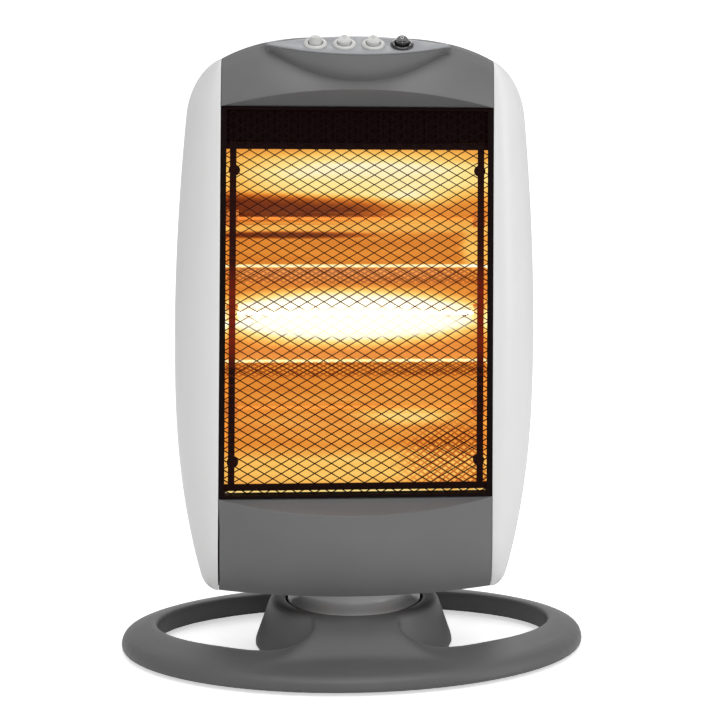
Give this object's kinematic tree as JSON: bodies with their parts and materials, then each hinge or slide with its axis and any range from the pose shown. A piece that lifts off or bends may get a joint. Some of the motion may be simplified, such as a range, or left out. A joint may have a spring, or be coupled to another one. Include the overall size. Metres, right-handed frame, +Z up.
{
  "type": "halogen heater",
  "caption": "Oscillating halogen heater: an upright body with quartz tubes behind a wire guard, turning on a pedestal in an oval ring base.",
  "frame": {"origin": "on the floor under the swivel axis, at the centre of the oval base", "axes": "+X to the right seen from the front, +Y to the rear, +Z up"},
  "size_m": [0.37, 0.25, 0.4869],
  "materials": {
    "base_plastic": "fine satin dark grey moulding",
    "panel_plastic": "satin mid grey painted plastic",
    "shell_plastic": "smooth white plastic with a soft gloss",
    "silver_plastic": "silver-grey painted control plate",
    "switch_light": "glossy light plastic",
    "switch_dark": "glossy black plastic",
    "black_steel": "heat-proof black paint, satin",
    "reflector_steel": "bright polished reflector sheet",
    "galvanised": "zinc-plated sheet",
    "screw_zinc": "bright zinc plating",
    "motor_case": "plated motor can",
    "rubber": "soft black rubber",
    "nylon": "natural nylon",
    "ceramic": "unglazed steatite",
    "quartz": "clear quartz glass",
    "filament_cold": "coiled resistance wire, cold",
    "filament_lit": "coiled resistance wire, white hot",
    "brass_tab": "plain brass tabs",
    "inner_plastic": "black technical plastic",
    "turntable_plastic": "glossy dark grey moulding",
    "back_sheet": "mid grey painted sheet steel"
  },
  "bodies": {
    "base": {"base_moulding": "base_plastic", "base_cover": "base_plastic", "base_cover_screws": "screw_zinc", "rubber_feet": "rubber", "swivel_post": "galvanised", "post_screws": "screw_zinc", "yoke_arm": "galvanised", "yoke_screw": "screw_zinc", "tip_switch": "inner_plastic", "glide_washer": "nylon"},
    "head": {"turntable": "turntable_plastic", "retaining_ring": "galvanised", "retaining_screws": "screw_zinc", "turntable_screws": "screw_zinc", "body_floor": "black_steel", "motor": "motor_case", "motor_screws": "screw_zinc", "lower_panel": "panel_plastic", "hood": "panel_plastic", "control_plate": "silver_plastic", "left_shell": "shell_plastic", "right_shell": "shell_plastic", "rear_cover": "base_plastic", "back_panel": "back_sheet", "rear_cover_screws": "screw_zinc", "handle_cup": "base_plastic", "cable_gland": "inner_plastic", "window_surround": "black_steel", "guard_mesh": "black_steel", "guard_bars": "black_steel", "guard_screws": "screw_zinc", "upper_baffle": "black_steel", "reflector": "reflector_steel", "left_end_reflector": "reflector_steel", "right_end_reflector": "reflector_steel", "left_chassis": "black_steel", "right_chassis": "black_steel", "heat_shield": "galvanised", "thermal_cutout": "motor_case", "terminal_block": "nylon", "left_lamp_bracket": "galvanised", "right_lamp_bracket": "galvanised", "top_tube": "quartz", "middle_tube": "quartz", "bottom_tube": "quartz", "top_filament": "filament_cold", "middle_filament": "filament_lit", "bottom_filament": "filament_cold", "end_caps": "ceramic", "lamp_terminals": "brass_tab", "swing_switch": "switch_light", "low_switch": "switch_light", "high_switch": "switch_light", "power_switch": "switch_dark"},
    "crank": {"crank": "galvanised"},
    "tip_plunger": {"tip_plunger": "nylon"},
    "swing_rocker": {"swing_rocker": "switch_light"},
    "low_rocker": {"low_rocker": "switch_light"},
    "high_rocker": {"high_rocker": "switch_light"},
    "power_rocker": {"power_rocker": "switch_dark"}
  },
  "joints": [
    {"name": "swivel", "type": "hinge", "parent": "base", "child": "head", "pos_m": [0, 0, 0.045], "axis": [0, 0, 1], "range_deg": [-35, 35]},
    {"name": "crank_turn", "type": "hinge", "parent": "head", "child": "crank", "pos_m": [0, 0.022, 0.0535], "axis": [0, 0, 1], "range_deg": [-105, 105]},
    {"name": "tip_plunger_slide", "type": "slide", "parent": "base", "child": "tip_plunger", "axis": [0, 0, 1], "range_m": [-0.004, 0]},
    {"name": "swing_rocker_tilt", "type": "hinge", "parent": "head", "child": "swing_rocker", "pos_m": [-0.03375, -0.04992, 0.47841], "axis": [1, 0, 0], "range_deg": [0, 28]},
    {"name": "low_rocker_tilt", "type": "hinge", "parent": "head", "child": "low_rocker", "pos_m": [-0.01125, -0.04992, 0.47841], "axis": [1, 0, 0], "range_deg": [-28, 0]},
    {"name": "high_rocker_tilt", "type": "hinge", "parent": "head", "child": "high_rocker", "pos_m": [0.01125, -0.04992, 0.47841], "axis": [1, 0, 0], "range_deg": [-28, 0]},
    {"name": "power_rocker_tilt", "type": "hinge", "parent": "head", "child": "power_rocker", "pos_m": [0.03375, -0.04992, 0.47841], "axis": [1, 0, 0], "range_deg": [-28, 0]}
  ],
  "couplings": [
    {"joint": "crank_turn", "follows": "swivel", "ratio": -3}
  ]
}
